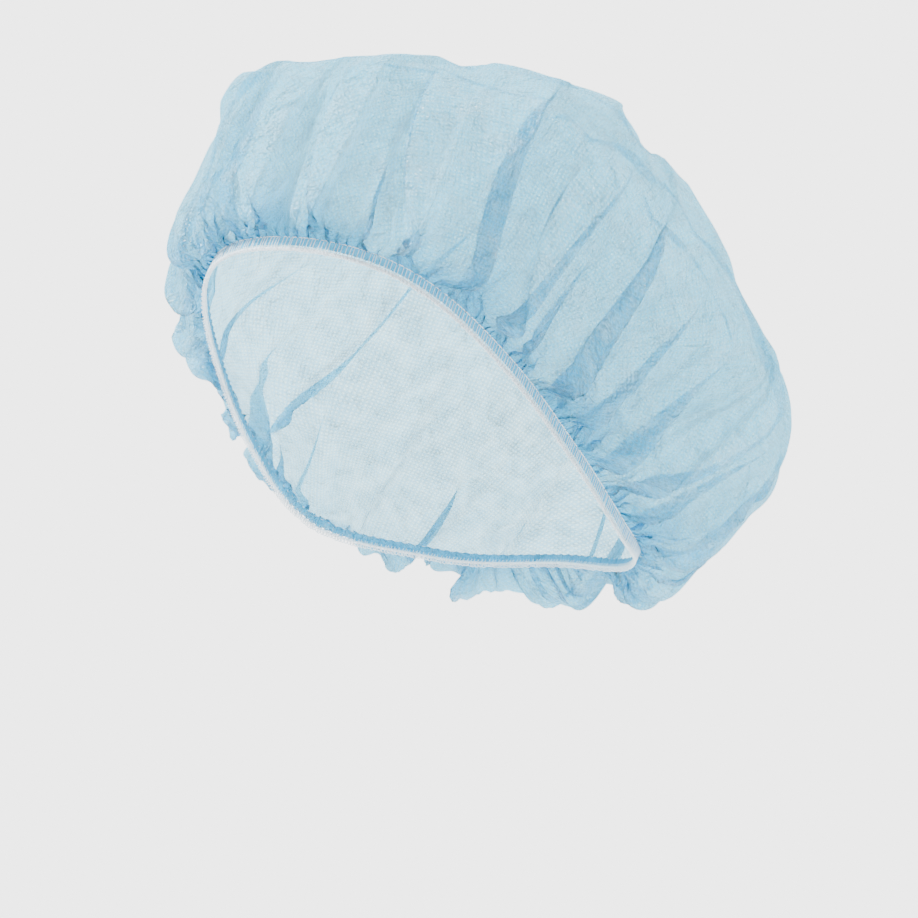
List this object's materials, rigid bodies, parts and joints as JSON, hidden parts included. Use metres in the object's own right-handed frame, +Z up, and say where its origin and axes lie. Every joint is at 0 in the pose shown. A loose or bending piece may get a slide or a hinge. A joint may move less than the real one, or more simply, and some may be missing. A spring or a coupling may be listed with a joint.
{
  "type": "bouffant hair cap",
  "caption": "Puffed disposable hair cap of thin non-woven cloth, gathered onto an elastic edge, in the shape that it has when worn.",
  "frame": {"origin": "middle of the opening that the head goes through, on the head's middle plane", "axes": "+Z up, the wearer faces -Y, +X towards the wearer's left; the opening's plane slopes down from the brow to the nape"},
  "size_m": [0.2396, 0.2352, 0.2059],
  "materials": {
    "nonwoven": "thin matt spun-bonded cloth, see-through where it is one layer",
    "elastic": "white elastic with overlocked thread"
  },
  "bodies": {
    "root": {"crown": "nonwoven", "elastic_band": "elastic"}
  },
  "joints": []
}
